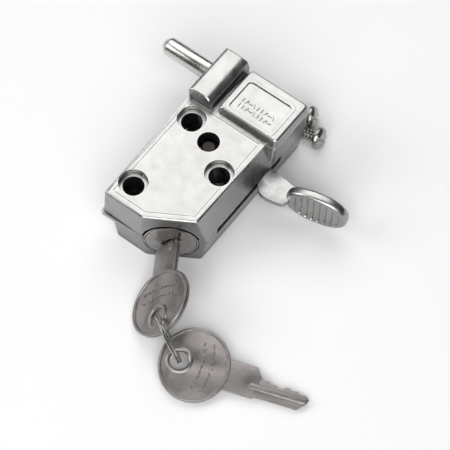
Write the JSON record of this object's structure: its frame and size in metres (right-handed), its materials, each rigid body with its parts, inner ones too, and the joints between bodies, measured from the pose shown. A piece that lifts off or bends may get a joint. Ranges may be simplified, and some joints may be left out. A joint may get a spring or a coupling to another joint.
{
  "type": "keyed sash pin lock",
  "caption": "Keyed pin-bolt lock for a window sash: cast case, side thumb lever that drives a round bolt, key cylinder in an angled corner, and keys on a split ring.",
  "frame": {"origin": "on the back face, at the lever pivot's axis", "axes": "+X across the face towards the thumb lever, +Y along the case towards the bolt, +Z out of the front face; the back is flat on z = 0"},
  "size_m": [0.1155, 0.1164, 0.031],
  "materials": {
    "cast_cover": "satin silver die casting, fine cast grain",
    "cast_tray": "satin silver die casting",
    "cast_lever": "satin silver die casting",
    "bolt_steel": "bright plated steel",
    "pin_steel": "plain steel",
    "spring_steel": "spring steel",
    "cylinder_nickel": "satin nickel plate",
    "key_nickel": "warm nickel plate",
    "ring_steel": "bright nickel-plated spring steel",
    "screw_steel": "bright plated steel",
    "wafer_brass": "plain brass"
  },
  "bodies": {
    "case": {"front_cover": "cast_cover", "rear_housing": "cast_tray", "lever_pivot_post": "pin_steel", "lever_washer": "pin_steel", "lever_retaining_clip": "spring_steel", "friction_shoe": "wafer_brass", "friction_spring": "spring_steel", "cylinder_housing": "cylinder_nickel", "cover_screw_1": "screw_steel", "cover_screw_2": "screw_steel", "cover_screw_3": "screw_steel", "mounting_screw_1": "screw_steel", "mounting_screw_2": "screw_steel"},
    "bolt": {"bolt_pin": "bolt_steel", "bolt_drive_pin": "pin_steel"},
    "lever": {"thumb_lever": "cast_lever"},
    "plug": {"cylinder_plug": "cylinder_nickel", "wafer_1": "wafer_brass", "wafer_2": "wafer_brass", "wafer_3": "wafer_brass", "wafer_4": "wafer_brass", "wafer_5": "wafer_brass", "plug_cam": "pin_steel", "plug_retaining_clip": "spring_steel"},
    "key": {"key_inserted": "key_nickel"},
    "ring": {"key_ring": "ring_steel"},
    "spare": {"spare_key": "key_nickel"}
  },
  "joints": [
    {"name": "lever_swing", "type": "hinge", "parent": "case", "child": "lever", "pos_m": [0, 0, 0.0117], "axis": [0, 0, 1], "range_deg": [-48, 0]},
    {"name": "bolt_slide", "type": "slide", "parent": "case", "child": "bolt", "axis": [1, 0, 0], "range_m": [0, 0.02246]},
    {"name": "plug_turn", "type": "hinge", "parent": "case", "child": "plug", "pos_m": [0.00812, -0.03145, 0.0102], "axis": [0.5185, -0.855, 0], "range_deg": [0, 90]},
    {"name": "key_withdraw", "type": "slide", "parent": "plug", "child": "key", "axis": [0.5185, -0.855, 0], "range_m": [0, 0.0215]},
    {"name": "ring_swing", "type": "hinge", "parent": "key", "child": "ring", "pos_m": [0.02192, -0.0556, 0.0095], "axis": [-0.4916, -0.8444, -0.213], "range_deg": [-8, 8]},
    {"name": "spare_key_swing", "type": "hinge", "parent": "ring", "child": "spare", "pos_m": [0.03514, -0.06185, 0.0038], "axis": [0.4848, -0.4686, 0.7385], "range_deg": [-12, 12]}
  ],
  "couplings": [
    {"joint": "bolt_slide", "follows": "lever_swing", "m_per_rad": -0.026785}
  ]
}
